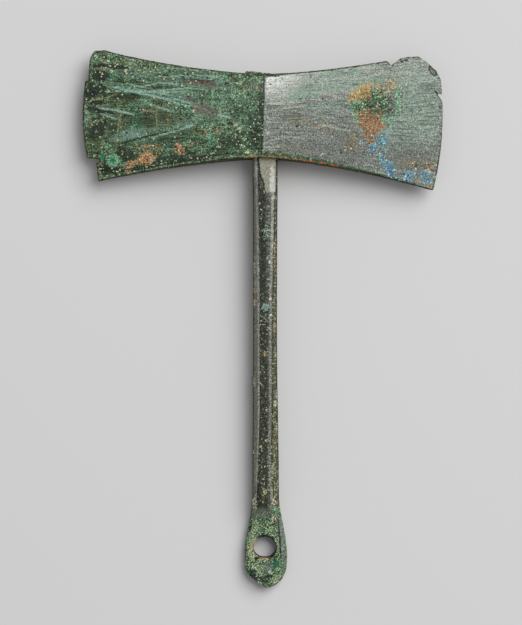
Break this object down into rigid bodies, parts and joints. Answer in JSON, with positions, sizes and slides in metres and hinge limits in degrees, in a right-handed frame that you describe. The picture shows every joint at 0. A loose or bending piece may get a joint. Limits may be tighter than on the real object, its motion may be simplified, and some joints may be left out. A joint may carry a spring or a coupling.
{
  "type": "bronze double axe with its handle",
  "caption": "Small ancient bronze double axe: a double-bladed head on an octagonal bronze rod handle, hammered over on top, with a pierced lug at the foot.",
  "frame": {"origin": "on the ground under the middle of the head, at the centre of the flat along its back ridge that it lies on", "axes": "+X across the blades to the right as seen from the front, +Y up the handle towards the head, +Z out of the front ridge, straight up as the axe lies"},
  "size_m": [0.1004, 0.1502, 0.0104],
  "materials": {
    "head_bronze": "cast tin bronze under a patina: dark green carbonate crust on the left blade, pale silver grey green on the right, with ochre, copper red and blue spots",
    "handle_bronze": "hammered tin bronze under a dark brown olive patina with worn grey facets, crusted green on the lug"
  },
  "bodies": {
    "root": {"axe_head": "head_bronze", "handle": "handle_bronze"}
  },
  "joints": []
}
